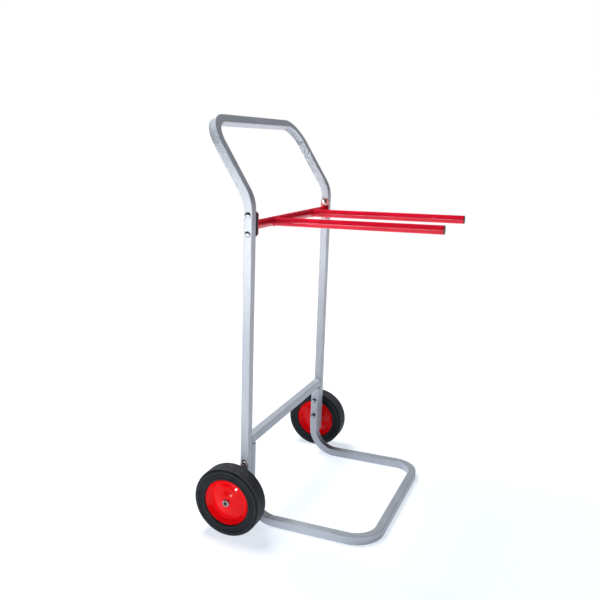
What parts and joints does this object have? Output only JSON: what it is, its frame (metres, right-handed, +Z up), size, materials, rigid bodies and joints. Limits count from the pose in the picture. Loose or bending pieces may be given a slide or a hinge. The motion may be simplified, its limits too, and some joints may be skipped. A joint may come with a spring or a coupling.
{
  "type": "hand truck",
  "caption": "Stacked-chair hand truck: bent square-tube frame with a leaning handle, floor toe loop, bolted round-arm fork and solid-tyre wheels.",
  "frame": {"origin": "on the floor, at the middle of the truck's bounding box", "axes": "+Z up along the uprights, -Y forward over the toe frame and the fork arms, +Y back to the wheels and the operator, X along the axles"},
  "size_m": [0.7248, 0.6239, 1.1504],
  "materials": {
    "silver_paint": "silver-grey powder coat, fine metallic, satin",
    "red_paint": "glossy red paint",
    "rim_red": "glossy bright red paint on pressed steel",
    "tyre": "solid black rubber, moulded",
    "black_rubber": "black rubber pad",
    "black_plastic": "black moulded polyethylene",
    "nylon": "grey nylon",
    "bare_steel": "turned steel, lightly oiled",
    "zinc_plate": "bright zinc plate"
  },
  "bodies": {
    "frame": {"axle_left": "bare_steel", "axle_right": "bare_steel", "axle_washer_inner_left": "zinc_plate", "axle_washer_inner_right": "zinc_plate", "axle_washer_outer_left": "zinc_plate", "axle_washer_outer_right": "zinc_plate", "fork_arm_left": "red_paint", "fork_arm_right": "red_paint", "fork_bolts": "zinc_plate", "fork_cross_tube": "red_paint", "fork_nuts": "zinc_plate", "fork_pad": "black_rubber", "fork_plate_left": "red_paint", "fork_plate_right": "red_paint", "fork_plug_left": "black_plastic", "fork_plug_right": "black_plastic", "fork_washers": "zinc_plate", "frame_bolts": "zinc_plate", "frame_nuts": "zinc_plate", "frame_washers": "zinc_plate", "lower_crossbar": "silver_paint", "main_frame": "silver_paint", "retaining_clip_left": "zinc_plate", "retaining_clip_right": "zinc_plate", "toe_frame": "silver_paint"},
    "wheel_left": {"bush_inner_left": "nylon", "bush_outer_left": "nylon", "hub_tube_left": "bare_steel", "rim_inner_left": "rim_red", "rim_outer_left": "rim_red", "tyre_left": "tyre"},
    "wheel_right": {"bush_inner_right": "nylon", "bush_outer_right": "nylon", "hub_tube_right": "bare_steel", "rim_inner_right": "rim_red", "rim_outer_right": "rim_red", "tyre_right": "tyre"}
  },
  "joints": [
    {"name": "wheel_left_spin", "type": "hinge", "parent": "frame", "child": "wheel_left", "pos_m": [0.334, 0.21196, 0.1], "axis": [1, 0, 0], "continuous": true},
    {"name": "wheel_right_spin", "type": "hinge", "parent": "frame", "child": "wheel_right", "pos_m": [-0.334, 0.21196, 0.1], "axis": [1, 0, 0], "continuous": true}
  ]
}
